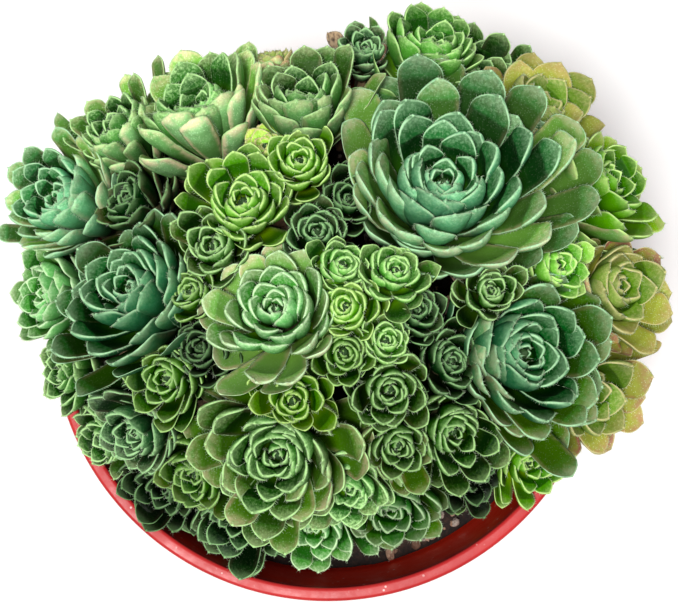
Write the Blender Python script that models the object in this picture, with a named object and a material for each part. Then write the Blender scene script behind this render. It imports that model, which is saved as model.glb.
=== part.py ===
"""A potted rosularia: a domed cushion of succulent rosettes in a plain round red plastic pot.

The script empties the scene and builds the pot, the potting soil and one object for each rosette.
The origin is the middle of the pot's flat base, with +Z up and the side with the bare wall towards -Y.
A rosette is a bud on its stem with leaves on a golden-angle spiral, fused into one closed body.
Neighbouring rosettes share the cushion by flat cell walls, as crowded shoots do: a leaf that would
cross a wall, the pot or another shoot's stem stands up more steeply, or grows shorter.
Sizes are in millimetres until a mesh is made.
"""

import itertools
import math
import random
from collections import namedtuple

import bmesh
import bpy
import numpy as np
from mathutils import Matrix, Vector

MM = 0.001

# Pot: a tapered body, a stepped collar and a plain rounded lip
POT_HEIGHT = 105.0
RIM_RADIUS = 70.0
LIP_WIDTH = 3.3
LIP_ROUND = 0.9
COLLAR_HEIGHT = 28.0
COLLAR_FOOT_RADIUS = 67.6
BODY_TOP_RADIUS = 65.2
BASE_RADIUS = 52.0
BASE_ROUND = 1.5
WALL = 2.2
FLOOR = 2.6
INNER_JOG_LOW = POT_HEIGHT - COLLAR_HEIGHT - 1.0
INNER_JOG_HIGH = POT_HEIGHT - COLLAR_HEIGHT + 3.0
INNER_COLLAR_STEP = 0.4
POT_SIDES = 32
DRAIN_COUNT = 6
DRAIN_RADIUS = 3.5
DRAIN_CIRCLE_RADIUS = 30.0
DRAIN_SIDES = 6
CUTTER_OVERRUN = 1.0

# Soil: it fills the pot to just above the jog in the wall
SOIL_DEPTH_BELOW_RIM = 26.0
SOIL_GAP = 0.3
SOIL_SIDE_GAP = 0.6
SOIL_TOP = POT_HEIGHT - SOIL_DEPTH_BELOW_RIM

# Stems: each goes straight to a plain blind hole in the soil, nearer the middle than its rosette
STEM_RADIUS = 1.2
STEM_RADIUS_PER_RADIUS = 0.03
STEM_DEPTH = 6.0
STEM_GATHER = 0.45
STEM_GATHER_HEIGHT = 40.0
HOLE_GAP = 0.8

# Cushion: every rosette faces away from the crown of the roots
CROWN = Vector((3.0, 4.0, POT_HEIGHT - 28.0))

# Bud: (height from the heart, radius at a rosette of no size, more radius for each unit of size), where
# heights are shares of the rosette's radius
BUD_RINGS = ((-0.95, 1.2, 0.10), (-0.42, 1.2, 0.17), (-0.12, 0.4, 0.12))
BUD_TOP = -0.02
LARGE_BUD_FROM = 10.0

# Leaves round the bud, as shares of the reach of the outermost leaf
LEAF_SPAN = 1.2
LEAF_SPAN_EXTRA = 2.0
LEAF_ROOT_REACH = 0.55
LEAF_ROOT_TOP = -0.17
LEAF_ROOT_SPREAD = 0.48
LEAF_TIP_INNER = 0.13
LEAF_TIP_POWER = 0.6
TIP_RISE = 0.34
TIP_DROP = 0.16
LEAF_BEND = math.radians(17.0)
RAISE_BEND = 0.55
STEEPEST = math.radians(86.0)
GOLDEN_ANGLE = math.radians(137.508)

# Leaf form: (place along the leaf, width as a share of the widest, thickness as a share of the most)
LARGE_LEAF = ((0.0, 0.32, 0.55), (0.5, 0.86, 1.0), (0.8, 0.93, 0.85))
SMALL_LEAF = ((0.0, 0.34, 0.6), (0.78, 1.0, 1.0))
LARGE_LEAF_FROM = 14.0
LARGE_LEAF_FROM_AGE = 0.4
LEAVES_LEAST = 4.2
LEAVES_PER_RADIUS = 0.385
LEAF_WIDTH = 0.475
YOUNG_LEAF_WIDTH = 0.22
LEAF_THICKNESS = 0.75
LEAF_THICKNESS_PER_WIDTH = 0.10
EDGE_SHARE = 0.3
LENGTH_DRAW = (0.94, 1.04)

# Crowding: the changes a leaf tries, from the least to the greatest, until it is clear of everything
RAISES = tuple(math.radians(angle) for angle in (0, 8, 16, 24, 32, 40, 48, 56, 64))
LENGTHS = (1.0, 0.9, 0.8, 0.7, 0.6, 0.5)
TURNS = (0.0, -0.16, 0.16)
RAISE_COST = 0.9
LENGTH_COST = 1.6
SQUEEZE_SPREAD = 0.1
SQUEEZE_SHORTENS = 0.45
CELL_POWER = 1.3
CELL_GAP = 0.35
NEIGHBOUR_RANGE = 10.0
NEIGHBOUR_RANGE_PER_RADIUS = 1.5
POT_GAP = 0.6
STEM_GAP = 0.5

Rosette = namedtuple("Rosette", "x y z radius tone lean")

# Heart of each rosette from the pot's axis and above its rim, its radius, its colour and how far it
# leans: 1 is straight out from the crown of the roots
ROSETTES = (
    Rosette(26, 27, 49, 30.0, "deep", 1.0),
    Rosette(-11, -2, 56, 17.0, "bluish", 1.0),
    Rosette(-18, 22, 51, 13.0, "lime", 1.0),
    Rosette(-25, 12, 50, 10.0, "green", 1.0),
    Rosette(15, 6, 56, 8.5, "fresh", 1.0),
    Rosette(36, 2, 51, 7.0, "green", 1.0),
    Rosette(53, 9, 39, 9.0, "lime", 1.0),
    Rosette(45, -11, 42, 26.0, "deep", 1.0),
    Rosette(20, -2, 49, 8.0, "dark", 1.0),
    Rosette(4, -12, 55, 7.0, "fresh", 1.0),
    Rosette(14, -20, 50, 10.0, "green", 1.0),
    Rosette(13, -9, 54, 6.0, "fresh", 1.0),
    Rosette(-11, -34, 42, 23.0, "green", 1.0),
    Rosette(-7, -22, 53, 7.0, "lime", 1.0),
    Rosette(-36, -17, 42, 10.0, "fresh", 1.0),
    Rosette(-30, 2, 49, 6.0, "fresh", 1.0),
    Rosette(-45, 4, 40, 21.0, "deep", 1.0),
    Rosette(-64, 27, 24, 18.0, "deep", 0.8),
    Rosette(-30, 46, 33, 20.0, "green", 0.9),
    Rosette(-5, 46, 41, 15.0, "green", 1.0),
    Rosette(-6, 31, 50, 9.0, "lime", 1.0),
    Rosette(9, 63, 27, 7.0, "dark", 0.7),
    Rosette(26, 64, 27, 14.0, "fresh", 1.0),
    Rosette(68, 32, 22, 14.0, "lime", 1.0),
    Rosette(-50, 43, 26, 14.0, "green", 0.9),
    Rosette(-64, -14, 15, 10.0, "green", 1.0),
    Rosette(-45, -29, 27, 12.0, "dark", 1.0),
    Rosette(-40, -42, 10, 14.0, "dark", 0.9),
    Rosette(-31, -39, 26, 13.0, "fresh", 1.0),
    Rosette(-22, -50, 10, 14.0, "dark", 0.9),
    Rosette(5, -42, 33, 11.0, "green", 1.0),
    Rosette(16, -32, 42, 10.0, "green", 1.0),
    Rosette(15, -47, 19, 14.0, "bluish", 1.0),
    Rosette(35, -42, -18, 5.0, "green", 0.3),
    Rosette(36, -38, 9, 11.0, "dark", 0.8),
    Rosette(50, -36, 7, 9.5, "lime", 0.6),
    Rosette(28, -13, 45, 10.0, "dark", 1.0),
    Rosette(-2, 15, 50, 9.0, "dark", 1.0),
    Rosette(-28, -10, 45, 9.5, "dark", 1.0),
    Rosette(5, 23, 47, 7.0, "dark", 1.0),
    Rosette(70, 6, 23, 17.0, "olive", 1.0),
    Rosette(63, -20, 19, 14.0, "olive", 1.0),
    Rosette(16, 61, 14, 5.0, "dry", 0.8),
    Rosette(4, -2, 56, 8.0, "lime", 1.0),
    Rosette(-3, -52, 8, 13.0, "bluish", 0.9),
    Rosette(4, 7, 56, 6.5, "fresh", 1.0),
    Rosette(29, -29, 37, 12.5, "green", 1.0),
    Rosette(-47, 26, 31, 12.0, "dark", 1.0),
    Rosette(-14, 62, 22, 11.0, "olive", 1.0),
    Rosette(-14, 36, 42, 6.5, "olive", 1.0),
    Rosette(52, 50, 24, 15.0, "olive", 1.0),
    Rosette(-33, 60, 14, 11.0, "green", 1.0),
    Rosette(-50, 49, 9, 10.0, "dark", 1.0),
    Rosette(-68, 5, 18, 14.0, "bluish", 1.0),
    Rosette(-3, 65, 8, 10.0, "green", 1.0),
    Rosette(38, 58, 10, 11.0, "green", 1.0),
    Rosette(58, 38, 8, 10.0, "fresh", 1.0),
    Rosette(-55, -30, 10, 9.0, "green", 1.0),
)

# Colours: linear red, green and blue, then roughness
LEAF_COLOURS = {
    "deep": ((0.035, 0.125, 0.060), 0.5),
    "dark": ((0.022, 0.080, 0.040), 0.5),
    "bluish": ((0.090, 0.230, 0.130), 0.5),
    "green": ((0.065, 0.190, 0.055), 0.5),
    "fresh": ((0.130, 0.330, 0.075), 0.5),
    "lime": ((0.230, 0.460, 0.070), 0.5),
    "olive": ((0.230, 0.280, 0.050), 0.5),
    "dry": ((0.230, 0.130, 0.060), 0.8),
}
POT_COLOUR = ((0.520, 0.045, 0.050), 0.35)
SOIL_COLOUR = ((0.018, 0.013, 0.010), 0.95)


def clear_scene():
    """Take every object out of the open scene."""
    for old in list(bpy.data.objects):
        bpy.data.objects.remove(old, do_unlink=True)


def plain_material(name, look):
    """Make a plain Principled material from a colour and a roughness."""
    colour, roughness = look
    material = bpy.data.materials.new(name)
    material.use_nodes = True
    shader = material.node_tree.nodes["Principled BSDF"]
    shader.inputs["Base Color"].default_value = (*colour, 1.0)
    shader.inputs["Roughness"].default_value = roughness
    shader.inputs["Metallic"].default_value = 0.0
    return material


def mesh_object(name, points, faces, collection=None):
    """Make an object from points in millimetres, with its faces turned outwards."""
    form = bmesh.new()
    corners = [form.verts.new(Vector(point) * MM) for point in points]
    for face in faces:
        form.faces.new([corners[index] for index in face])
    bmesh.ops.recalc_face_normals(form, faces=form.faces)
    mesh = bpy.data.meshes.new(name)
    form.to_mesh(mesh)
    form.free()
    made = bpy.data.objects.new(name, mesh)
    (collection or bpy.context.scene.collection).objects.link(made)
    return made


def loft(rings, top=None):
    """Give the points and faces of a closed tube through rings of equal size."""
    sides = len(rings[0])
    points = [point for ring in rings for point in ring]
    faces = [tuple(range(sides))]
    for level in range(len(rings) - 1):
        for side in range(sides):
            here = level * sides + side
            beside = level * sides + (side + 1) % sides
            faces.append((here, beside, beside + sides, here + sides))
    last = (len(rings) - 1) * sides
    if top is None:
        faces.append(tuple(range(last, last + sides)))
        return points, faces
    points.append(top)
    for side in range(sides):
        faces.append((last + side, last + (side + 1) % sides, len(points) - 1))
    return points, faces


def level_ring(centre, radius, sides):
    """Give the corners of a level ring."""
    turns = [math.tau * side / sides for side in range(sides)]
    return [centre + Vector((math.cos(turn), math.sin(turn), 0.0)) * radius for turn in turns]


def turned_rings(profile, sides):
    """Turn (radius, height) pairs round the pot's axis."""
    return [level_ring(Vector((0.0, 0.0, height)), radius, sides) for radius, height in profile]


def join_collection(base, collection, operation, solver):
    """Apply one Boolean between an object and a collection, then remove the collection's objects."""
    boolean = base.modifiers.new("join", "BOOLEAN")
    boolean.operation = operation
    boolean.operand_type = "COLLECTION"
    boolean.collection = collection
    boolean.solver = solver
    seen = base.evaluated_get(bpy.context.evaluated_depsgraph_get())
    joined = bpy.data.meshes.new_from_object(seen)
    base.modifiers.clear()
    base.data = joined
    for used in list(collection.objects):
        bpy.data.objects.remove(used, do_unlink=True)
    bpy.data.collections.remove(collection)


def keep_outer_shell(mesh):
    """Keep only the largest shell: a hollow that fusing sealed is filled and a scrap is dropped."""
    form = bmesh.new()
    form.from_mesh(mesh)
    waiting = set(form.faces)
    shells = []
    while waiting:
        shell = [waiting.pop()]
        for face in shell:
            for edge in face.edges:
                for beside in edge.link_faces:
                    if beside in waiting:
                        waiting.remove(beside)
                        shell.append(beside)
        shells.append(shell)
    largest = max(shells, key=len)
    spare = [face for shell in shells if shell is not largest for face in shell]
    bmesh.ops.delete(form, geom=spare, context="FACES")
    form.to_mesh(mesh)
    form.free()


def new_collection(name):
    """Add a collection to the scene."""
    collection = bpy.data.collections.new(name)
    bpy.context.scene.collection.children.link(collection)
    return collection


def inner_radius(height):
    """Give the pot's inside radius at a height above its base."""
    collar = COLLAR_FOOT_RADIUS - WALL - INNER_COLLAR_STEP
    heights = (FLOOR, INNER_JOG_LOW, INNER_JOG_HIGH, POT_HEIGHT)
    radii = (BASE_RADIUS - WALL, BODY_TOP_RADIUS - WALL, collar, RIM_RADIUS - LIP_WIDTH)
    return float(np.interp(height, heights, radii))


def build_pot(material):
    """Turn the pot as one wall, then cut its drain holes."""
    collar_foot = POT_HEIGHT - COLLAR_HEIGHT
    profile = [
        (BASE_RADIUS - BASE_ROUND, 0.0),
        (BASE_RADIUS, BASE_ROUND),
        (BODY_TOP_RADIUS, collar_foot),
        (COLLAR_FOOT_RADIUS, collar_foot),
        (RIM_RADIUS, POT_HEIGHT - LIP_ROUND),
        (RIM_RADIUS - LIP_ROUND, POT_HEIGHT),
        (RIM_RADIUS - LIP_WIDTH + LIP_ROUND, POT_HEIGHT),
        (RIM_RADIUS - LIP_WIDTH, POT_HEIGHT - LIP_ROUND),
        (inner_radius(INNER_JOG_HIGH), INNER_JOG_HIGH),
        (inner_radius(INNER_JOG_LOW), INNER_JOG_LOW),
        (inner_radius(FLOOR), FLOOR),
    ]
    pot = mesh_object("pot", *loft(turned_rings(profile, POT_SIDES)))
    drains = new_collection("drains")
    for index in range(DRAIN_COUNT):
        turn = math.tau * index / DRAIN_COUNT
        centre = Vector((math.cos(turn), math.sin(turn), 0.0)) * DRAIN_CIRCLE_RADIUS
        rings = [level_ring(centre + Vector((0.0, 0.0, height)), DRAIN_RADIUS, DRAIN_SIDES)
                 for height in (-CUTTER_OVERRUN, FLOOR + CUTTER_OVERRUN)]
        mesh_object(f"drain_{index}", *loft(rings), drains)
    join_collection(pot, drains, "DIFFERENCE", "EXACT")
    pot.data.materials.clear()
    pot.data.materials.append(material)
    pot.data.shade_smooth()
    pot.data.set_sharp_from_angle(angle=math.radians(35.0))
    return pot


def build_soil(shoots, material):
    """Fill the pot with soil and sink a blind hole for each stem."""
    heights = (FLOOR + SOIL_GAP, INNER_JOG_LOW, SOIL_TOP)
    profile = [(inner_radius(height) - SOIL_SIDE_GAP, height) for height in heights]
    soil = mesh_object("soil", *loft(turned_rings(profile, POT_SIDES)))
    holes = new_collection("stem_holes")
    for shoot in shoots:
        run = shoot.neck - shoot.foot
        shares = (-HOLE_GAP / run.z, (STEM_DEPTH + CUTTER_OVERRUN) / run.z)
        rings = [level_ring(shoot.foot + run * share, shoot.stem_girth(share) + HOLE_GAP, shoot.sides)
                 for share in shares]
        mesh_object(f"{shoot.name}_hole", *loft(rings), holes)
    join_collection(soil, holes, "DIFFERENCE", "EXACT")
    soil.data.materials.clear()
    soil.data.materials.append(material)
    return soil


class Shoot:
    """One rosette with its place, its frame and its share of the cushion."""

    def __init__(self, index, row):
        self.name = f"rosette_{index + 1:02d}"
        self.tone = row.tone
        self.radius = row.radius
        self.heart = Vector((row.x, row.y, POT_HEIGHT + row.z))
        outward = (self.heart - CROWN).normalized()
        swing = Vector((0, 0, 1)).rotation_difference(outward)
        self.axis = Matrix.Rotation(swing.angle * row.lean, 3, swing.axis) @ Vector((0, 0, 1))
        self.across = self.axis.orthogonal().normalized()
        self.along = self.axis.cross(self.across)
        self.random = random.Random(1000 + index)
        self.phase = self.random.uniform(0.0, math.tau)
        self.hand = self.random.choice((-1.0, 1.0))
        self.leaf_count = round(LEAVES_LEAST + LEAVES_PER_RADIUS * self.radius)
        self.sides = 5 if self.radius > LARGE_BUD_FROM else 4
        self.stem_radius = STEM_RADIUS + STEM_RADIUS_PER_RADIUS * self.radius
        height = (self.heart.z - SOIL_TOP) / STEM_GATHER_HEIGHT
        gathered = self.heart.lerp(CROWN, STEM_GATHER * min(1.0, height))
        self.foot = Vector((gathered.x, gathered.y, SOIL_TOP - STEM_DEPTH))
        self.neck = self.heart + self.axis * (BUD_RINGS[0][0] * self.radius)
        self.neck_radius = BUD_RINGS[0][1] + BUD_RINGS[0][2] * self.radius
        self.reach = LEAF_SPAN * self.radius + LEAF_SPAN_EXTRA
        self.walls = []

    def point(self, turn, reach, height):
        """Give a point from its turn round the axis, its reach from it and its height along it."""
        outward = self.across * math.cos(turn) + self.along * math.sin(turn)
        return self.heart + outward * reach + self.axis * height

    def bud_radius(self, height):
        """Give the bud's radius at a height along the axis from the heart."""
        heights = [share * self.radius for share, _, _ in BUD_RINGS]
        radii = [least + more * self.radius for _, least, more in BUD_RINGS]
        return float(np.interp(height, heights, radii))

    def squeeze(self, turn):
        """Give how much of its full reach a leaf has in one direction before it meets a cell wall."""
        room = self.reach
        for side in (-SQUEEZE_SPREAD, 0.0, SQUEEZE_SPREAD):
            outward = self.across * math.cos(turn + side) + self.along * math.sin(turn + side)
            for normal, reach in self.walls:
                facing = normal.dot(outward)
                if facing > 0.0:
                    room = min(room, reach / facing)
        return room / self.reach

    def stem_girth(self, share):
        """Give the stem's radius at a share of the way from its foot to the neck."""
        return self.stem_radius + share * (self.neck_radius - self.stem_radius)

    def share_cushion(self, others):
        """Set a flat cell wall against each neighbour, nearer to the smaller of the two."""
        for other in others:
            if other is self:
                continue
            between = other.heart - self.heart
            size = self.radius + other.radius
            if between.length > NEIGHBOUR_RANGE_PER_RADIUS * size + NEIGHBOUR_RANGE:
                continue
            mine, theirs = self.radius ** CELL_POWER, other.radius ** CELL_POWER
            reach = between.length * mine / (mine + theirs) - CELL_GAP / 2
            self.walls.append((between.normalized(), reach))

    def is_clear(self, corners, other_shoots):
        """Say whether a leaf stays in its cell and off the pot, the soil and the other stems."""
        away = corners - np.array(self.heart)
        for normal, reach in self.walls:
            if (away @ np.array(normal)).max() > reach:
                return False
        spots = surface_spots(corners)
        if spots[:, 2].min() < SOIL_TOP + POT_GAP:
            return False
        plan = np.hypot(spots[:, 0], spots[:, 1])
        limit = np.array([inner_radius(height) for height in spots[:, 2]]) - POT_GAP
        if np.any((spots[:, 2] < POT_HEIGHT + POT_GAP) & (plan > limit)):
            return False
        for other in other_shoots:
            if other is self:
                continue
            if clearance_from_stem(spots, other).min() < STEM_GAP:
                return False
        return True


def surface_spots(corners):
    """Give the corners of a blade and the points between every two of them."""
    pairs = list(itertools.combinations(range(len(corners)), 2))
    first = corners[[pair[0] for pair in pairs]]
    second = corners[[pair[1] for pair in pairs]]
    shares = (0.25, 0.5, 0.75)
    return np.vstack([corners] + [first + (second - first) * share for share in shares])


def clearance_from_stem(spots, shoot):
    """Give how far each point is from the surface of a shoot's tapered stem."""
    foot = np.array(shoot.foot)
    run = np.array(shoot.neck) - foot
    share = np.clip((spots - foot) @ run / (run @ run), 0.0, 1.0)
    return np.linalg.norm(spots - (foot + share[:, None] * run), axis=1) - shoot.stem_girth(share)


def leaf_rings(shoot, age, turn, raise_angle, length_share, stations):
    """Give a leaf's rings of three corners (two edges and the keel) and its tip.

    Age runs from 0 at the bud to 1 at the outermost leaf. The midline is a quadratic curve that
    leaves the bud flatter than its chord and turns up towards the tip.
    """
    size = shoot.reach
    root_height = (LEAF_ROOT_TOP - LEAF_ROOT_SPREAD * age) * size
    root = Vector((LEAF_ROOT_REACH * shoot.bud_radius(root_height), 0.0, root_height))
    tip_reach = (LEAF_TIP_INNER + (1.0 - LEAF_TIP_INNER) * age ** LEAF_TIP_POWER) * size
    tip_height = (TIP_RISE * age - (TIP_RISE + TIP_DROP) * age * age) * size
    chord = Vector((tip_reach, 0.0, tip_height)) - root
    widest = (LEAF_WIDTH + YOUNG_LEAF_WIDTH * (1.0 - age)) * chord.length * math.sqrt(length_share)
    squeeze = shoot.squeeze(turn)
    squeezed = chord.length * (1.0 - SQUEEZE_SHORTENS * (1.0 - squeeze))
    across = min(tip_reach * squeeze - root.x, squeezed)
    chord = Vector((across, 0.0, math.sqrt(squeezed ** 2 - across ** 2)))
    slope = min(math.atan2(chord.z, chord.x) + raise_angle, STEEPEST)
    length = chord.length * length_share
    tip = root + length * Vector((math.cos(slope), 0.0, math.sin(slope)))
    lower = slope - LEAF_BEND - RAISE_BEND * raise_angle
    middle = root + 0.5 * length * Vector((math.cos(lower), 0.0, math.sin(lower)))
    thickness = LEAF_THICKNESS + LEAF_THICKNESS_PER_WIDTH * widest
    rings = []
    for along, width_share, thickness_share in stations:
        spot = root.lerp(middle, along).lerp(middle.lerp(tip, along), along)
        heading = (middle.lerp(tip, along) - root.lerp(middle, along)).normalized()
        face = Vector((-heading.z, 0.0, heading.x))
        half = Vector((0.0, widest * width_share / 2, 0.0))
        edge = spot + face * (EDGE_SHARE * thickness * thickness_share)
        keel = spot - face * ((1.0 - EDGE_SHARE) * thickness * thickness_share)
        rings.append([edge - half, keel, edge + half])
    return rings_in_place(shoot, rings, turn), place(shoot, tip, turn)


def place(shoot, local, turn):
    """Turn a point of a leaf that lies along X into the rosette's own frame."""
    outward = shoot.across * math.cos(turn) + shoot.along * math.sin(turn)
    sideways = shoot.axis.cross(outward)
    return shoot.heart + outward * local.x + sideways * local.y + shoot.axis * local.z


def rings_in_place(shoot, rings, turn):
    """Turn a leaf's rings into the rosette's own frame."""
    return [[place(shoot, corner, turn) for corner in ring] for ring in rings]


def crowding_steps():
    """Give every change a leaf may try, from the least to the greatest."""
    steps = list(itertools.product(RAISES, LENGTHS, TURNS))
    steps.sort(key=lambda step: RAISE_COST * step[0] + LENGTH_COST * (1.0 - step[1]) + abs(step[2]))
    return steps


def build_rosette(shoot, shoots, steps, material):
    """Build the bud on its stem, set the leaves round it and fuse them."""
    size = shoot.radius
    turns = [math.tau * side / shoot.sides for side in range(shoot.sides)]
    rings = [level_ring(shoot.foot, shoot.stem_radius, shoot.sides)]
    for height, _, _ in BUD_RINGS:
        reach = shoot.bud_radius(height * size)
        rings.append([shoot.point(turn, reach, height * size) for turn in twist_to_match(shoot, turns)])
    rosette = mesh_object(shoot.name, *loft(rings, shoot.point(0.0, 0.0, BUD_TOP * size)))
    leaves = new_collection(f"{shoot.name}_leaves")
    for index in range(shoot.leaf_count):
        age = (index + 0.5) / shoot.leaf_count
        turn = shoot.phase + shoot.hand * GOLDEN_ANGLE * index
        length_draw = shoot.random.uniform(*LENGTH_DRAW)
        is_large = size > LARGE_LEAF_FROM and age > LARGE_LEAF_FROM_AGE
        stations = LARGE_LEAF if is_large else SMALL_LEAF
        for raise_angle, length_share, shift in steps:
            rings, tip = leaf_rings(shoot, age, turn + shift, raise_angle,
                                    length_share * length_draw, stations)
            corners = np.array([corner for ring in rings for corner in ring] + [tip])
            if shoot.is_clear(corners, shoots):
                mesh_object(f"{shoot.name}_leaf_{index}", *loft(rings, tip), leaves)
                break
    join_collection(rosette, leaves, "UNION", "MANIFOLD")
    keep_outer_shell(rosette.data)
    rosette.data.materials.clear()
    rosette.data.materials.append(material)
    return rosette


def twist_to_match(shoot, turns):
    """Turn the bud's rings so that their corners follow on from those of the foot ring."""
    first = Vector((1, 0, 0))
    offset = math.atan2(first.dot(shoot.along), first.dot(shoot.across))
    return [turn + offset for turn in turns]


def build_plant():
    """Build the pot, the soil and every rosette."""
    clear_scene()
    shoots = [Shoot(index, row) for index, row in enumerate(ROSETTES)]
    for shoot in shoots:
        shoot.share_cushion(shoots)
    steps = crowding_steps()
    leaf_materials = {tone: plain_material(f"leaf_{tone}", look) for tone, look in LEAF_COLOURS.items()}
    build_pot(plain_material("red_plastic", POT_COLOUR))
    build_soil(shoots, plain_material("potting_soil", SOIL_COLOUR))
    for shoot in shoots:
        build_rosette(shoot, shoots, steps, leaf_materials[shoot.tone])


build_plant()
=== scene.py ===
"""Looks of the potted rosularia: fine leaves with hairy margins, dry thatch, soil with grit and a red pot.

Every rosette's place and size repeat the model's own, so each fine rosette stands where its node is.
Lengths are in millimetres until a mesh is made, and colours are written as sRGB from 0 to 255.
"""

import itertools
import math
import random
from collections import namedtuple

import bmesh
import bpy
import numpy as np
from mathutils import Matrix, Vector, noise


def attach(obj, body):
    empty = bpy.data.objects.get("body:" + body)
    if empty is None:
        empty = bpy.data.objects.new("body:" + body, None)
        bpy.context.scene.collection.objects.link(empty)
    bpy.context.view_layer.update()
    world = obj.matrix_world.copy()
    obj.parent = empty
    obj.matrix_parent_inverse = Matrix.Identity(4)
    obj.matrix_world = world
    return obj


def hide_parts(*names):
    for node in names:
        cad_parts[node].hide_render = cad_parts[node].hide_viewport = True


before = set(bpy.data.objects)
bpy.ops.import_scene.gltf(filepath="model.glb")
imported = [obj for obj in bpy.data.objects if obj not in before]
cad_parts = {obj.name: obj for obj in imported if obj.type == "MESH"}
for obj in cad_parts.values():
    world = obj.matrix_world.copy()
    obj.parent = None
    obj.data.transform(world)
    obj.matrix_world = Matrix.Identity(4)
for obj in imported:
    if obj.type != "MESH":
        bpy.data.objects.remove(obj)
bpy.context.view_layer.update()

MM = 0.001
GOLDEN_ANGLE = math.radians(137.508)

# Pot
POT_HEIGHT = 105.0
RIM_RADIUS = 70.0
LIP_WIDTH = 3.3
LIP_ROUND = 0.9
COLLAR_HEIGHT = 28.0
COLLAR_FOOT_RADIUS = 67.6
COLLAR_ROUND = 0.5
BODY_TOP_RADIUS = 65.2
BASE_RADIUS = 52.0
BASE_ROUND = 1.5
WALL = 2.2
FLOOR = 2.6
FLOOR_CHAMFER = 1.0
INNER_JOG_LOW = POT_HEIGHT - COLLAR_HEIGHT - 1.0
INNER_JOG_HIGH = POT_HEIGHT - COLLAR_HEIGHT + 3.0
INNER_COLLAR_STEP = 0.4
# Inner wall span, painted brighter orange-red as a glow of light shining through the thin plastic
INNER_WALL_PAINTED_GLOW = (0.863, 0.868)
POT_SIDES = 192
DRAIN_COUNT = 6
DRAIN_RADIUS = 3.5
DRAIN_CIRCLE = 30.0

# Soil: its lumps and its crumbs have a size, a share of the bump and the settings of their noise
SOIL_TOP = POT_HEIGHT - 26.0
SOIL_GAP = 0.3
SOIL_RINGS = 46
SOIL_SIDES = 132
SOIL_BUMP = 1.7
SOIL_RELIEF = ((9.0, 1.0, (0.9, 2.0, 3)), (2.2, 0.7, (0.8, 2.1, 4)))

# Grit: most stones lie anywhere, and some in heaps near the rim
GRIT_COUNT = 480
GRIT_SIZES = (0.5, 2.1)
GRIT_HEAPS = ((31.0, -52.0), (27.0, -56.0), (18.0, -61.0))
HEAP_STONES = 9
HEAP_SPREAD = 1.7

# Cushion: the stems lean towards its middle, and each rosette has its cell between its neighbours
CROWN = Vector((3.0, 4.0, POT_HEIGHT - 28.0))
STEM_RADIUS = (1.2, 0.03)
STEM_DEPTH = 6.0
STEM_GATHER = 0.45
GATHER_HEIGHT = 40.0
STEM_SIDES = 10
STEM_RINGS = 14
BUD_RINGS = ((-0.95, 1.2, 0.10), (-0.42, 1.2, 0.17), (-0.12, 0.4, 0.12))
BUD_END = ((-0.22, 0.50), (-0.09, 0.24), (-0.03, 0.05))
CELL_POWER = 1.3
CELL_SLACK = 1.2
CELL_SOFTNESS = 1.6
NEIGHBOUR_RANGE = (10.0, 1.5)
SHORTENED = 0.55
CROWDED_OUT_FROM = 0.6
CROWDED_OUT = 0.10
POT_GAP = 0.8

# Leaves: their count, and their places and sizes as shares of the outermost one's reach
LEAF_SPAN = 1.15
LEAF_SPAN_EXTRA = 4.2
LEAF_COUNT = (0.014, 1.45, 10.0)
UNDER_LEAVES = 0.3
TIP_INNER = 0.010
TIP_POWER = 1.02
TIP_RISE = 0.82
TIP_DROP = 0.12
ROOT_TOP = -0.18
ROOT_SPREAD = 0.48
ROOT_REACH = 0.6
LEAF_WIDTH = (2.6, 0.185)
WIDTH_GROWTH = 0.13
THICKNESS = (0.5, 0.10)
THICKNESS_MOST = 0.28
WEDGE = 0.27
WEDGE_LOST = 0.7
BEND_LATE = 2.0
RAISES = tuple(math.radians(angle) for angle in range(0, 81, 8))
SHORTENINGS = (1.0, 0.85, 0.7, 0.55)
STEEPEST = math.radians(88.0)
FINE_LEAF_FROM = 10.0

# Leaf outline: its widest place, and how the end closes from there, on young leaves and on old ones
WIDEST = 0.68
ROOT_WIDTH = 0.45
END_PER_WIDTH = 0.40
END_FULLNESS = (2.7, 2.6)
END_POINT = (1.0, 0.62)
MUCRO = 0.35

# The ridge across a leaf's face, where it turns to the wedge of its end, and the thin margin
RIDGE = 0.72
RIDGE_AT_ROOT = 0.15
MARGIN = 0.42

# Dry leaves: their count, where along the stem they hang, how long they are and how steeply they drop
DRY_LEAVES = (5.0, 0.3)
DRY_LEAF_SPAN = (0.45, 0.98)
DRY_LEAF_LENGTHS = (3.5, 7.0)
DRY_LEAF_GROWTH = 0.18
DRY_LEAF_DROPS = (-0.1, 1.2)

# Hairs on the margins
HAIR_SPACING = 0.62
HAIR_LENGTHS = (0.4, 1.0)
HAIR_RADIUS = 0.052
HAIRS_FROM = 0.32

# What a rosette is unless its row says otherwise: how much its colour is lightened or darkened, partly
# for its own tone and partly as painted light and shade, brighter where it stands in the light and darker
# where its neighbours shade it; its lean from the cushion's middle, its turn to a side, its spread, to
# which side and how far its old leaves reach, how much higher they stand, how narrow and many its leaves
# are, how many of the oldest are dry, and how much they blush
USUAL = {"shade": 1.0, "lean": 1.0, "turn": (0, 0), "spread": 1.0, "skew": (0, 0), "rise": 0.0,
         "narrow": 1.0, "dry": 0, "blush": 0.15}
Row = namedtuple("Row", ["x", "y", "z", "radius", "tone", *USUAL], defaults=USUAL.values())
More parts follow.
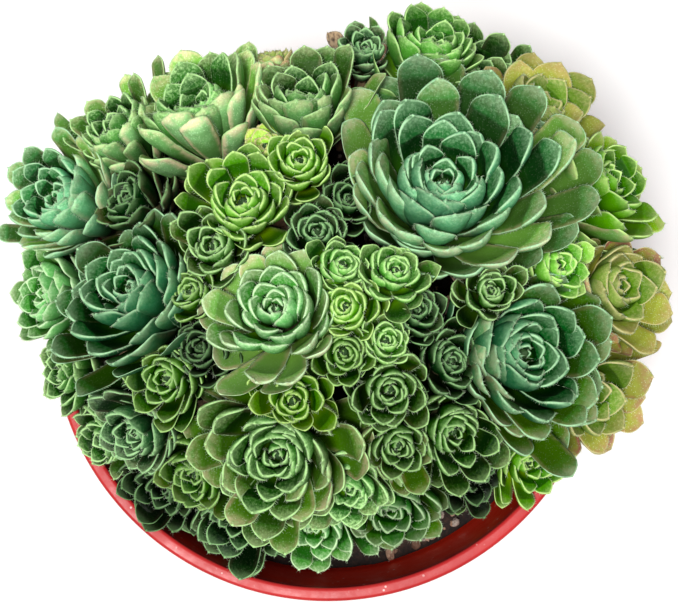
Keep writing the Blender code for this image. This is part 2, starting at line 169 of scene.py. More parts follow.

# Each rosette's heart from the pot's axis and above its rim, its radius, its tone, and how much its colour
# is lightened or darkened for its tone and as painted light and shade
ROSETTES = (
    Row(26, 27, 49, 30, "deep", 1.6, turn=(-0.25, 0.12), skew=(0.03, 0.14), blush=0.45),
    Row(-11, -2, 56, 17, "bluish", 1.25, turn=(-0.08, 0.42), blush=0.7),
    Row(-18, 22, 51, 13, "lime", 1.15, turn=(0.2, 0.1)),
    Row(-25, 12, 50, 10, "green", 0.75),
    Row(15, 6, 56, 8.5, "fresh", 1.65, turn=(0, 0.3)),
    Row(36, 2, 51, 7, "green", 0.7, turn=(-0.2, 0.2)),
    Row(53, 9, 39, 9, "lime", 2.0),
    Row(45, -11, 42, 26, "deep", 0.8, turn=(0, 0.22), skew=(0.18, 0.22), blush=0.55),
    Row(20, -2, 49, 8, "dark", 0.5, turn=(0.2, 0.25)),
    Row(4, -12, 55, 7, "fresh", 0.55),
    Row(14, -20, 50, 10, "green", 0.6),
    Row(13, -9, 54, 6, "fresh", 0.95, turn=(0, 0.3)),
    Row(-11, -34, 42, 23, "green", 0.95, turn=(0, 0.2), spread=0.93, skew=(0, 0.2), blush=0.8),
    Row(-7, -22, 53, 7, "lime", 0.65, turn=(0.1, 0.25)),
    Row(-36, -17, 42, 10, "fresh", 0.6),
    Row(-30, 2, 49, 6, "fresh", 0.6, turn=(0, 0.3)),
    Row(-45, 4, 40, 21, "deep", 0.8, turn=(0, 0.35)),
    Row(-64, 27, 24, 18, "deep", 2.05, lean=0.8, turn=(0, 0.12), spread=0.92, skew=(0.08, 0.12),
        rise=0.15, narrow=1.25, blush=0.4),
    Row(-30, 46, 33, 20, "green", 2.25, lean=0.9, turn=(-0.05, 0.4), spread=0.88, skew=(-0.13, 0.08),
        rise=0.3, narrow=0.9, blush=0.8),
    Row(-5, 46, 41, 15, "green", 1.35, turn=(0, 0.45), spread=0.86, skew=(0, 0.13), rise=0.3,
        narrow=0.87, blush=0.45),
    Row(-6, 31, 50, 9, "lime"),
    Row(9, 63, 27, 7, "dark", 1.95, lean=0.7, spread=0.9, dry=2),
    Row(26, 64, 27, 14, "fresh", 1.55, turn=(-0.12, 0), spread=1.05, skew=(-0.3, 0.05)),
    Row(68, 32, 22, 14, "lime", 0.95, spread=1.25, skew=(0.12, -0.16), blush=0.5),
    Row(-50, 43, 26, 14, "green", 1.8, lean=0.9, turn=(-0.1, 0.3), spread=0.93, skew=(-0.1, 0.18),
        rise=0.25, narrow=1.3, blush=0.5),
    Row(-64, -14, 15, 10, "green", spread=0.9, dry=1),
    Row(-45, -29, 27, 12, "dark", 1.35),
    Row(-40, -42, 10, 14, "dark", 0.3, lean=0.9),
    Row(-31, -39, 26, 13, "fresh", 0.5, blush=0.4),
    Row(-22, -50, 10, 14, "dark", 0.65, lean=0.9, spread=1.2),
    Row(5, -42, 33, 11, "green", 2.3),
    Row(16, -32, 42, 10, "green", 0.55, blush=0.5),
    Row(15, -47, 19, 14, "bluish", 0.5, blush=0.4),
    Row(35, -42, -18, 5, "green", 0.4, lean=0.3),
    Row(36, -38, 9, 11, "dark", 0.25, lean=0.8),
    Row(50, -36, 7, 9.5, "lime", 0.95, lean=0.6),
    Row(28, -13, 45, 10, "dark", 0.5, turn=(0.1, 0.3)),
    Row(-2, 15, 50, 9, "dark", 0.65),
    Row(-28, -10, 45, 9.5, "dark", 0.2, turn=(0.2, 0.2)),
    Row(5, 23, 47, 7, "dark", 0.4),
    Row(70, 6, 23, 17, "olive", 1.25, turn=(-0.3, 0, 0.1), spread=0.83, skew=(0.04, -0.1), narrow=0.72,
        blush=1.2),
    Row(63, -20, 19, 14, "olive", 1.35, turn=(-0.25, 0.15, 0.1), spread=1.05, skew=(0.33, 0.22),
        narrow=0.76, blush=1.2),
    Row(16, 61, 14, 5, "dry", lean=0.8, dry=6),
    Row(4, -2, 56, 8, "lime", 0.95, turn=(-0.25, 0.15)),
    Row(-3, -52, 8, 13, "bluish", 1.15, lean=0.9),
    Row(4, 7, 56, 6.5, "fresh", 1.55, turn=(0.3, 0.1)),
    Row(29, -29, 37, 12.5, "green", 0.65),
    Row(-47, 26, 31, 12, "dark", 0.45, blush=0.6),
    Row(-14, 62, 22, 11, "olive", 1.85, turn=(0, 0.8, -0.3), spread=0.3, blush=0.9),
    Row(-14, 36, 42, 6.5, "olive", 3.4),
    Row(52, 50, 24, 15, "olive", 1.6, turn=(-0.15, -0.1, 0.1), spread=1.1, skew=(0.1, 0.12), narrow=0.68,
        blush=1.0),
    Row(-33, 60, 14, 11, "green", spread=0.55),
    Row(-50, 49, 9, 10, "dark", spread=0.7),
    Row(-68, 5, 18, 14, "bluish", 1.2, skew=(-0.35, 0.05), narrow=1.1),
    Row(-3, 65, 8, 10, "green", spread=0.4),
    Row(38, 58, 10, 11, "green", spread=1.4, rise=0.35),
    Row(58, 38, 8, 10, "fresh", spread=1.3, narrow=0.8),
    Row(-55, -30, 10, 9, "green"),
)

# Leaf colours of each tone, and how strong the frosted bloom is; an old leaf fades to the old colour
TAN = (204, 170, 146)
LeafLook = namedtuple("LeafLook", "young mature root end back old margin bloom blush", defaults=[TAN])
PALE_BACK = (150, 196, 146)
# Root colours: the bases' own yellow-green, brightened as a painted glow of light through the leaf
LEAF_LOOKS = {
    "deep": LeafLook((7, 42, 9), (5, 38, 8), (44, 96, 2), (24, 80, 34), (68, 130, 90), (106, 154, 58),
                     (180, 228, 178), 0.22),
    "dark": LeafLook((4, 26, 4), (3, 23, 4), (22, 56, 2), (12, 44, 14), (30, 74, 36), (56, 98, 40),
                     (168, 216, 152), 0.2),
    "bluish": LeafLook((22, 78, 10), (18, 72, 10), (110, 158, 0), (50, 116, 36), (92, 158, 88),
                       (128, 176, 84), (208, 242, 188), 0.35),
    "green": LeafLook((12, 46, 4), (9, 40, 4), (66, 112, 0), (22, 66, 11), (50, 104, 38), (92, 140, 48),
                      (190, 234, 158), 0.3),
    "fresh": LeafLook((20, 64, 4), (14, 56, 4), (82, 132, 0), (34, 88, 13), (62, 126, 36), (96, 150, 44),
                      (194, 238, 152), 0.25),
    "lime": LeafLook((36, 90, 4), (27, 80, 4), (118, 160, 0), (58, 120, 14), (86, 150, 38), (136, 182, 48),
                     (206, 242, 148), 0.2),
    "olive": LeafLook((56, 96, 8), (48, 80, 10), (164, 172, 0), (78, 112, 24), (100, 128, 48),
                      (150, 152, 60), (206, 198, 140), 0.25, (150, 92, 78)),
    "dry": LeafLook((60, 78, 44), (70, 60, 40), (86, 62, 32), (100, 90, 64), (124, 110, 84), (120, 100, 70),
                    (166, 150, 120), 0.25, (132, 104, 80)),
}
HAIR_WHITE = (206, 228, 188)

# What each point of a mesh tells its material, and its usual value
# The last mark holds each rosette's tone with painted light and shade
MARKS = {"along": 0.5, "edge": 0.5, "age": 0.5, "tint": 0.5, "upper": 0.5, "blush": 0.0, "shade": 1.0}
Marks = namedtuple("Marks", MARKS)

# Materials of a rosette, in their order
LEAF_SLOT, HAIR_SLOT, DRY_SLOT, STEM_SLOT = range(4)

# Camera: it looks steeply down from the near side
CAMERA_ELEVATION = math.radians(84.0)
CAMERA_DISTANCE = 340.0
CAMERA_TARGET = Vector((2.95, 4.6, POT_HEIGHT))
CAMERA_LENS = 71.15

# Studio: a pale floor just under the pot, and soft square lamps, in metres
FLOOR_REACH = 1500.0
FLOOR_DROP = 0.2
LAMP_TARGET = Vector((0.0, 0.0, 0.1))
Lamp = namedtuple("Lamp", "name place size power colour")
LAMPS = (
    Lamp("key", (-0.32, -0.42, 2.0), 0.5, 41.0, (1.0, 0.99, 0.97)),
    Lamp("top", (0.2, 0.15, 2.3), 1.2, 14.0, (0.97, 0.99, 1.0)),
)


def linear(colour):
    """Turn an sRGB colour from 0 to 255 into linear red, green, blue and alpha."""
    shares = [channel / 255.0 for channel in colour]
    channels = [share / 12.92 if share <= 0.04045 else ((share + 0.055) / 1.055) ** 2.4 for share in shares]
    return (*channels, 1.0)


class Nodes:
    """Short names for the nodes of one material."""

    def __init__(self, name, roughness, **values):
        self.material = bpy.data.materials.new(name)
        self.material.use_nodes = True
        self.tree = self.material.node_tree
        self.shader = self.tree.nodes["Principled BSDF"]
        self.shader.inputs["Roughness"].default_value = roughness
        for socket, value in values.items():
            self.shader.inputs[socket.replace("_", " ")].default_value = value

    def put(self, value, socket):
        """Link a socket, or set it to a value or an sRGB colour."""
        if isinstance(value, bpy.types.NodeSocket):
            self.tree.links.new(value, socket)
        else:
            socket.default_value = linear(value) if socket.type == "RGBA" else value

    def node(self, kind, inputs, output=0, **settings):
        """Add a node, and give one of its outputs."""
        made = self.tree.nodes.new(kind)
        for setting, value in settings.items():
            setattr(made, setting, value)
        for socket, value in inputs.items():
            self.put(value, made.inputs[socket])
        return made.outputs[output]

    def mark(self, name):
        """Read a value that each point holds."""
        return self.node("ShaderNodeAttribute", {}, "Fac", attribute_name=name)

    def place(self):
        """Give the place on the object, in metres."""
        return self.node("ShaderNodeTexCoord", {}, "Object")

    def math(self, operation, first, second, clamp=False):
        """Join two values by an operation."""
        return self.node("ShaderNodeMath", {0: first, 1: second}, operation=operation, use_clamp=clamp)

    def times(self, first, second, clamp=False):
        """Multiply two values."""
        return self.math("MULTIPLY", first, second, clamp)

    def ramp(self, value, low, high, to_low=0.0, to_high=1.0):
        """Map a value from one range to another with soft ends."""
        inputs = {"Value": value, "From Min": low, "From Max": high, "To Min": to_low, "To Max": to_high}
        return self.node("ShaderNodeMapRange", inputs, interpolation_type="SMOOTHSTEP")

    def mix(self, share, first, second):
        """Mix two colours by the share of the second."""
        return self.node("ShaderNodeMix", {0: share, 6: first, 7: second}, 2, data_type="RGBA")

    def noise(self, size, detail=3.0, roughness=0.55, place=None):
        """Give noise with features of about a size in millimetres."""
        inputs = {"Vector": place or self.place(), "Scale": 1.0 / (size * MM), "Detail": detail}
        return self.node("ShaderNodeTexNoise", {**inputs, "Roughness": roughness}, "Fac")

    def dots(self, size):
        """Give the distance from random points about a size apart."""
        inputs = {"Vector": self.place(), "Scale": 1.0 / (size * MM)}
        return self.node("ShaderNodeTexVoronoi", inputs, "Distance")

    def lighten(self, colour, value, saturation=1.0):
        """Make a colour lighter or darker, and stronger or paler."""
        inputs = {"Saturation": saturation, "Color": colour, "Value": value}
        return self.node("ShaderNodeHueSaturation", inputs)

    def bump(self, height, depth, strength):
        """Bend the shading by a height that stands for a depth in millimetres."""
        inputs = {"Strength": strength, "Distance": depth * MM, "Height": height}
        self.put(self.node("ShaderNodeBump", inputs), self.shader.inputs["Normal"])

    def finish(self, colour):
        """Set the surface's colour and give the material."""
        self.put(colour, self.shader.inputs["Base Color"])
        return self.material


def leaf_skin(n, at, look):
    """Give a leaf's colour: face, yellow-green root with a painted glow, end, back with painted shade."""
    face = n.mix(n.ramp(at.age, 0.05, 0.55), look.young, look.mature)
    # The root's own yellow-green, brightened as a painted glow of light shining through the leaf base
    face = n.mix(n.ramp(at.along, 0.60, 0.20), face, look.root)
    mottle = n.ramp(n.noise(2.6, 4.0), 0.35, 0.7, 0.0, 0.4)
    colour = n.mix(n.ramp(at.along, 0.69, 0.73), face, n.mix(mottle, look.end, face))
    pale = n.mix(n.ramp(at.blush, 0.0, 0.8, 0.0, 0.6), look.back, PALE_BACK)
    # Painted shade: the back darkens to the face colour towards the root, deep among the leaves
    back = n.mix(n.ramp(at.along, 0.80, 0.40, 0.0, 0.8), n.mix(mottle, pale, look.end), look.young)
    colour = n.mix(n.ramp(at.upper, 0.65, 0.35), colour, back)
    fading = n.times(n.ramp(at.blush, 0.0, 0.6, 0.0, 0.75), n.ramp(at.upper, 0.3, 0.7, 0.25, 1.0))
    return n.mix(fading, colour, look.old)


def leaf_bloom(n, at, look, colour):
    """Frost a leaf's end, blush its tip and margin, and dot it."""
    frost = n.times(n.ramp(at.along, 0.6, 1.0), n.ramp(n.noise(0.7, 5.0, 0.7), 0.42, 0.66))
    colour = n.mix(n.times(frost, look.bloom), colour, look.margin)
    outer = n.math("MAXIMUM", n.ramp(at.along, 0.68, 1.0), n.ramp(at.edge, 1.6, 0.2, 0.0, 0.8))
    blushing = n.times(n.times(at.blush, outer), n.ramp(n.noise(1.8), 0.25, 0.6), clamp=True)
    colour = n.mix(blushing, colour, look.blush)
    dots = n.times(n.ramp(n.dots(0.5), 0.28, 0.14), n.ramp(at.blush, 0.0, 0.8, 0.08, 0.5))
    return n.mix(n.times(dots, n.ramp(at.along, 0.3, 0.8)), colour, HAIR_WHITE)


def leaf_light(n, at, look, colour):
    """Vary a leaf by its tint and its rosette's tone and painted light, and draw its pale margin."""
    colour = n.lighten(colour, n.ramp(at.tint, 0.0, 1.0, 0.74, 1.26))
    # Rosette's tone with painted light and shade: lit rosettes lighter, shaded ones darker
    colour = n.lighten(colour, at.shade, n.ramp(at.shade, 0.3, 1.5, 1.22, 1.0))
    # The end lightens to the tip: partly frost, partly a painted highlight where ends stand in the light
    colour = n.mix(n.ramp(at.along, 0.78, 1.0, 0.0, 0.22), colour, look.margin)
    line = n.times(n.ramp(at.edge, 0.36, 0.10), n.ramp(at.upper, 0.0, 0.5, 0.35, 1.0))
    colour = n.mix(line, colour, look.margin)
    # Painted shade again over shaded rosettes, their margins included
    return n.lighten(colour, n.ramp(at.shade, 0.0, 1.0, 0.3, 1.0), n.ramp(at.shade, 0.3, 1.0, 1.12, 1.0))


def leaf_material(tone, look):
    """Fleshy leaf with a soft glow under its skin and tiny bumps."""
    n = Nodes(f"leaf_{tone}_fine", 0.45, Specular_IOR_Level=0.06, Subsurface_Weight=0.08,
              Subsurface_Scale=0.0012, Subsurface_Radius=(0.5, 1.0, 0.3))
    at = Marks(*[n.mark(name) for name in MARKS])
    colour = leaf_light(n, at, look, leaf_bloom(n, at, look, leaf_skin(n, at, look)))
    n.bump(n.math("ADD", n.noise(0.45), n.ramp(n.dots(0.55), 0.32, 0.1, 0.0, 0.6)), 0.12, 0.55)
    return n.finish(colour)


def hair_material():
    """Fine whitish hairs, a little greener in patches, darkened with their rosette's tone and painted
    shade.
    """
    n = Nodes("leaf_hair", 0.6, Sheen_Weight=0.3)
    colour = n.mix(n.ramp(n.noise(4.0), 0.35, 0.7), HAIR_WHITE, (190, 214, 168))
    # Painted shade: hairs of shaded rosettes darken with their tone
    return n.finish(n.lighten(colour, n.ramp(n.mark("shade"), 0.0, 1.0, 0.3, 1.0)))


def dry_material():
    """Papery old leaves: tan to brown, and greener at their roots."""
    n = Nodes("dry_leaf", 0.85, Sheen_Weight=0.2)
    colour = n.mix(n.ramp(n.mark("tint"), 0.1, 0.9), (134, 100, 70), (196, 166, 130))
    colour = n.mix(n.ramp(n.noise(1.2, 5.0), 0.4, 0.7), colour, (74, 54, 38))
    colour = n.mix(n.ramp(n.mark("along"), 0.4, 0.0, 0.0, 0.5), colour, (92, 96, 48))
    n.bump(n.noise(0.5, 5.0), 0.2, 0.7)
    return n.finish(colour)


def stem_material():
    """Brown bark, and a green bud at its end."""
    n = Nodes("stem_bark", 0.75)
    colour = n.mix(n.ramp(n.noise(1.6, 5.0), 0.35, 0.65), (78, 84, 44), (66, 50, 34))
    colour = n.mix(n.ramp(n.mark("along"), 0.8, 0.95), colour, (34, 66, 22))
    n.bump(n.noise(0.8, 4.0), 0.3, 0.8)
    return n.finish(colour)


def pot_material():
    """Smooth red plastic with cloudiness, hairline scratches, small pale scuffs, painted glow inside."""
    n = Nodes("pot_red_plastic", 0.34, Specular_IOR_Level=0.26)
    base = n.mix(n.ramp(n.noise(24.0), 0.35, 0.65), (182, 40, 42), (198, 50, 50))
    # Painted glow: the inner wall is brighter orange-red, standing in for light shining through the plastic
    base = n.mix(n.ramp(n.mark("along"), *INNER_WALL_PAINTED_GLOW), base, (216, 44, 20))
    flat = n.node("ShaderNodeMapping", {"Vector": n.place(), "Scale": (1.0, 1.0, 7.0)})
    scratches = n.ramp(n.noise(1.4, 6.0, 0.75, flat), 0.60, 0.72, 0.0, 0.22)
    base = n.mix(scratches, base, (226, 128, 126))
    specks = n.times(n.ramp(n.dots(2.4), 0.16, 0.09), n.ramp(n.noise(6.0, 2.0), 0.50, 0.60, 0.0, 0.8))
    base = n.mix(specks, base, (238, 206, 200))
    n.put(n.ramp(n.noise(5.0, 5.0), 0.3, 0.7, 0.28, 0.46), n.shader.inputs["Roughness"])
    n.bump(n.noise(0.9, 4.0), 0.05, 0.5)
    return n.finish(base)


def soil_material():
    """Moist, nearly black crumbs with brown patches."""
    n = Nodes("soil_crumbs", 0.9)
    colour = n.mix(n.ramp(n.noise(1.5, 6.0, 0.7), 0.35, 0.68), (17, 11, 9), (46, 29, 21))
    colour = n.mix(n.ramp(n.noise(5.0, 4.0), 0.55, 0.75, 0.0, 0.7), colour, (84, 58, 44))
    n.bump(n.noise(0.8, 6.0, 0.7), 0.5, 0.9)
    return n.finish(colour)


def grit_material():
    """Tan, pink-brown and grey grit."""
    n = Nodes("grit", 0.85)
    colour = n.mix(n.ramp(n.mark("tint"), 0.0, 0.6), (104, 74, 56), (164, 130, 106))
    colour = n.mix(n.ramp(n.mark("tint"), 0.7, 0.9), colour, (180, 166, 154))
    colour = n.mix(n.ramp(n.noise(0.6, 4.0), 0.4, 0.7, 0.0, 0.6), colour, (84, 62, 50))
    n.bump(n.noise(0.4, 4.0), 0.2, 0.8)
    return n.finish(colour)


class Stock:
    """Gathers points, faces and what belongs to them, and makes one mesh of them."""

    def __init__(self):
        self.count = 0
        self.points, self.corners, self.sizes, self.slots, self.maps = ([] for _ in range(5))
        self.values = {name: [] for name in MARKS}

    def add(self, points, face_sets, slot, maps=None, **values):
        """Add points, and sets of faces with the places of their corners in the bake map."""
        self.points.append(points)
        for index, faces in enumerate(face_sets):
            self.corners.append((faces + self.count).ravel())
            self.sizes.append(np.full(len(faces), faces.shape[1]))
            self.slots.append(np.full(len(faces), slot))
            self.maps.append(maps[index].reshape(-1, 2) if maps else np.zeros((faces.size, 2)))
        for name, usual in MARKS.items():
            self.values[name].append(np.broadcast_to(values.get(name, usual), len(points)))
        self.count += len(points)

    def piece(self, name, materials, smooth=True, mapped=False):
        """Make the object, in metres."""
        mesh = bpy.data.meshes.new(name)
        points = np.vstack(self.points) * MM
        corners = np.concatenate(self.corners)
        sizes = np.concatenate(self.sizes)
        mesh.vertices.add(len(points))
        mesh.vertices.foreach_set("co", points.ravel())
        mesh.loops.add(len(corners))
        mesh.loops.foreach_set("vertex_index", corners.astype(np.int32))
        mesh.polygons.add(len(sizes))
        mesh.polygons.foreach_set("loop_start", (np.cumsum(sizes) - sizes).astype(np.int32))
        mesh.polygons.foreach_set("material_index", np.concatenate(self.slots).astype(np.int32))
        mesh.polygons.foreach_set("use_smooth", np.full(len(sizes), smooth))
        mesh.update(calc_edges=True)
        for mark, parts in self.values.items():
            made = mesh.attributes.new(mark, "FLOAT", "POINT")
            made.data.foreach_set("value", np.concatenate(parts).astype(np.float32))
        if mapped:
            layer = mesh.uv_layers.new(name="OFBake")
            layer.uv.foreach_set("vector", np.vstack(self.maps).ravel())
        for material in materials:
            mesh.materials.append(material)
        made = bpy.data.objects.new(name, mesh)
        bpy.context.scene.collection.objects.link(made)
        return made


def even_turns(count):
    """Give angles evenly round a circle."""
    return np.arange(count) * math.tau / count


def circle(radius, height, turns):
    """Give a level ring of points round the pot's axis."""
    return np.stack([radius * np.cos(turns), radius * np.sin(turns), np.full(len(turns), height)], -1)


def ring_corners(levels, sides):
    """Give the ring and the side of the four corners of each quad between rings."""
    level, side = np.meshgrid(np.arange(levels - 1), np.arange(sides), indexing="ij")
    levels = np.stack([level, level, level + 1, level + 1], -1)
    return levels, np.stack([side, side + 1, side + 1, side], -1)


def tube_faces(levels, sides):
    """Give the faces of a closed tube of rings: its quads, its end and its start."""
    level, side = ring_corners(levels, sides)
    quads = (level * sides + side % sides).reshape(-1, 4)
    ring = np.arange(sides)[None]
    return [quads, ring + (levels - 1) * sides, ring[:, ::-1]]


def round_piece(name, rings, material):
    """Join rings into a closed piece, marked by their share of the way along it."""
    sides = len(rings[0])
    along = np.repeat(np.linspace(0.0, 1.0, len(rings)), sides)
    stock = Stock()
    stock.add(np.vstack(rings), tube_faces(len(rings), sides), 0, along=along)
    return stock.piece(name, [material])


def grow(measure, size):
    """Give a measure, which is its least and what it gains with a size."""
    least, gain = measure
    return least + gain * size


class Frame:
    """A place and three directions: leaves lie outwards from it and are measured along its axis."""

    def __init__(self, origin, axis):
        self.origin = np.array(origin)
        self.axis = np.array(axis)
        across = Vector(axis).orthogonal().normalized()
        self.across = np.array(across)
        self.along = np.array(Vector(axis).cross(across))

    def outward(self, turn):
        """Give the direction away from the axis at a turn round it."""
        return self.across * math.cos(turn) + self.along * math.sin(turn)

    def place(self, turn, x, y, z):
        """Turn a leaf's own outward, sideways and upward places into the pot's frame."""
        outward = self.outward(turn)
        sideways = np.cross(self.axis, outward)
        x, y, z = np.broadcast_arrays(x, y, z)
        return self.origin + x[..., None] * outward + y[..., None] * sideways + z[..., None] * self.axis


class Shoot(Frame):
    """One rosette with its place, its frame and its share of the cushion."""

    def __init__(self, index, row):
        self.number = index + 1
        self.node = f"rosette_{self.number:02d}"
        self.row = row
        self.radius = row.radius
        self.heart = Vector((row.x, row.y, POT_HEIGHT + row.z))
        outward = (self.heart - CROWN).normalized()
        swing = Vector((0, 0, 1)).rotation_difference(outward)
        axis = Matrix.Rotation(swing.angle * row.lean, 3, swing.axis) @ Vector((0, 0, 1))
        axis = (axis + Vector(row.turn).to_3d()).normalized()
        super().__init__(self.heart, axis)
        self.random = random.Random(1000 + index)
        self.phase = self.random.uniform(0.0, math.tau)
        self.hand = self.random.choice((-1.0, 1.0))
        self.leaf_count = round(np.polyval(LEAF_COUNT, self.radius) * row.narrow)
        height = (self.heart.z - SOIL_TOP) / GATHER_HEIGHT
        gathered = self.heart.lerp(CROWN, STEM_GATHER * min(1.0, height))
        self.foot = Vector((gathered.x, gathered.y, SOIL_TOP - STEM_DEPTH))
        self.neck = self.heart + axis * (BUD_RINGS[0][0] * self.radius)
        self.reach = LEAF_SPAN * row.spread * self.radius + LEAF_SPAN_EXTRA
        self.weight = (row.spread * self.radius) ** CELL_POWER
        self.walls = []

    def stem_girth(self, share):
        """Give the stem's radius at a share of the way up."""
        low = grow(STEM_RADIUS, self.radius)
        high = grow(BUD_RINGS[0][1:], self.radius)
        return low + share * (high - low)

    def bud_radius(self, height):
        """Give the bud's radius at a height from the heart."""
        heights = [share * self.radius for share, _, _ in BUD_RINGS]
        radii = [grow(ring[1:], self.radius) for ring in BUD_RINGS]
        return float(np.interp(height, heights, radii))

    def share_cushion(self, others):
        """Set a flat cell wall against each neighbour, nearer to the smaller of the two."""
        for other in others:
            between = other.heart - self.heart
            if other is not self and between.length <= grow(NEIGHBOUR_RANGE, self.radius + other.radius):
                share = self.weight / (self.weight + other.weight)
                self.walls.append((np.array(between.normalized()), between.length * share))

    def squeeze(self, turn):
        """Give the share of its reach that a leaf has before it meets a cell wall."""
        outward = self.outward(turn)
        room = self.reach
        for normal, reach in self.walls:
            facing = float(normal @ outward)
            if facing > 0.0:
                room = min(room, (reach + CELL_SLACK) / facing)
        return room / self.reach

    def press(self, points):
        """Push what passes a cell wall back to it softly."""
        for normal, reach in self.walls:
            past = (points - self.origin) @ normal - reach - CELL_SLACK
            back = np.where(past > 0.0, past - CELL_SOFTNESS * (1.0 - np.exp(-past / CELL_SOFTNESS)), 0.0)
            points = points - back[:, None] * normal
        return points


def inner_radius(height):
    """Give the pot's inside radius at a height above its base."""
    collar = COLLAR_FOOT_RADIUS - WALL - INNER_COLLAR_STEP
    heights = (FLOOR, INNER_JOG_LOW, INNER_JOG_HIGH, POT_HEIGHT)
    radii = (BASE_RADIUS - WALL, BODY_TOP_RADIUS - WALL, collar, RIM_RADIUS - LIP_WIDTH)
    return np.interp(height, heights, radii)


SOIL_REACH = float(inner_radius(SOIL_TOP)) - SOIL_GAP


def clear_of_pot(spots):
    """Say whether points are above the soil and inside or over the pot's wall."""
    plan = np.hypot(spots[:, 0], spots[:, 1])
    in_wall = (spots[:, 2] < POT_HEIGHT + POT_GAP) & (plan > inner_radius(spots[:, 2]) - POT_GAP)
    return spots[:, 2].min() > SOIL_TOP + POT_GAP and not in_wall.any()


def midline(root, tip, low_bend, high_bend, count=33):
    """Give a leaf's curve, outward and up as complex numbers, and its heading, which the bends turn."""
    share = np.linspace(0.0, 1.0, count)
    heading = -low_bend + (low_bend + high_bend) * share ** BEND_LATE
    steps = np.exp(1j * (heading[1:] + heading[:-1]) / 2)
    line = np.concatenate([[0.0], np.cumsum(steps)])
    fit = (tip - root) / line[-1]
    return share, root + line * fit, heading + np.angle(fit)


def past_widest(along):
    """Give the share of the way from a leaf's widest place to its tip."""
    return np.clip((along - WIDEST) / (1.0 - WIDEST), 0.0, 1.0)


def half_width(along, age):
    """Give a leaf's half width along it as a share of its widest."""
    grown = np.clip(along / WIDEST, 0.0, 1.0)
    body = ROOT_WIDTH + (1.0 - ROOT_WIDTH) * np.sin(grown * math.pi / 2) ** 1.4
    fullness, point = [young + (old - young) * age for young, old in (END_FULLNESS, END_POINT)]
    return body * (1.0 - past_widest(along) ** fullness) ** point


# How finely a leaf is made: its stations along, and its lines between the middle and the margin
Detail = namedtuple("Detail", "stations inner")
FINE = Detail((0.0, 0.25, 0.46, 0.62, 0.69, 0.72, 0.75, 0.81, 0.87, 0.925, 0.965, 0.99), (0.66, 0.33))
PLAIN = Detail((0.0, 0.32, 0.56, 0.69, 0.75, 0.83, 0.91, 0.965), (0.5,))
COARSE = Detail((0.0, 0.4, 0.7, 0.88, 0.97), ())
OUTLINE = np.linspace(0.0, 1.0, 70)
STATION_MARKS = (0.0, RIDGE, 1.0)

LeafForm = namedtuple(
    "LeafForm", "root tip low_bend high_bend width thickness wedge age ring_radius twist sway wave")
LeafMesh = namedtuple("LeafMesh", "rings tip stations across is_top edge")


def leaf_columns(half, detail):
    """Give the places across a leaf, from 1 at one margin over its face to -1 and back under it."""
    rim = 1.0 - np.clip(MARGIN / half, 0.05, 0.35)
    one_side = [np.ones_like(half), rim, *[rim * share for share in detail.inner]]
    top = np.stack([*one_side, 0.0 * half, *[-line for line in reversed(one_side)]], 1)
    across = np.hstack([top, top[:, -2:0:-1]])
    return across, np.arange(across.shape[1]) < top.shape[1]


def leaf_relief(form, stations, half, across, is_top):
    """Give how far a leaf's points lie beside and over its midline."""
    swell = 0.8 + 0.2 * np.sin(math.pi * stations)
    thick = form.thickness * swell * (1.0 - 0.45 * past_widest(stations) ** 3)
    round_off = np.sqrt(np.clip(1.0 - across ** 2, 0.0, 1.0))
    wedge = form.wedge * np.interp(stations, STATION_MARKS, (RIDGE_AT_ROOT, 1.0, 0.0))
    face = 0.15 * thick[:, None] * round_off + wedge[:, None] * (1.0 - np.abs(across) ** 3)
    body = np.where(is_top, face, -0.70 * round_off * thick[:, None])
    ring_radius = np.maximum(form.ring_radius * (0.35 + 0.65 * stations), 0.6)
    cup = np.minimum(0.6 * half, 0.9 * half ** 2 / ring_radius + 0.14 * half)
    height, start = form.wave
    wave = np.sin(start + 9.0 * stations[:, None] + 2.0 * across)
    rise = body + cup[:, None] * across ** 2
    rise += height * np.abs(across) ** 3 * wave
    side = across * half[:, None] * (1.0 - 0.10 * (cup / half)[:, None] * across ** 2)
    roll = form.twist * stations[:, None]
    return side * np.cos(roll) - rise * np.sin(roll), side * np.sin(roll) + rise * np.cos(roll)


def leaf_mesh(form, holder, turn, detail):
    """Give a leaf's mesh, with its stations moved so that its end is as long as its width asks."""
    stations = np.array(detail.stations)
    share, line, heading = midline(form.root, form.tip, form.low_bend, form.high_bend)
    length = float(np.abs(np.diff(line)).sum())
    marks = (0.0, 1.0 - min(0.4, END_PER_WIDTH * form.width / length), 1.0)
    reached = np.interp(stations, STATION_MARKS, marks)
    centre = np.interp(reached, share, line.real) + 1j * np.interp(reached, share, line.imag)
    lean = np.interp(reached, share, heading)
    half = form.width / 2 * half_width(stations, form.age)
    across, is_top = leaf_columns(half, detail)
    side, rise = leaf_relief(form, stations, half, across, is_top)
    side = side + form.sway * stations[:, None] ** 2 * length
    spot = centre[:, None] + rise * np.exp(1j * (lean[:, None] + math.pi / 2))
    rings = holder.place(turn, spot.real, side, spot.imag)
    end = line[-1] + MUCRO * np.exp(1j * heading[-1])
    tip = holder.place(turn, end.real, form.sway * length, end.imag)
    gap_along = (reached[:, None] - np.interp(OUTLINE, STATION_MARKS, marks)) * length
    outline = form.width / 2 * half_width(OUTLINE, form.age)
    gap_across = np.abs(across * half[:, None])[:, :, None] - outline
    edge = np.hypot(gap_along[:, None, :], gap_across).min(-1)
    return LeafMesh(rings, tip, stations, across, is_top, edge)


def cell_of(index, count):
    """Give the corner and size of one leaf's cell in the bake map."""
    columns = math.ceil(math.sqrt(count))
    rows = math.ceil(count / columns)
    return np.array([index % columns / columns, index // columns / rows]), np.array([1 / columns, 1 / rows])


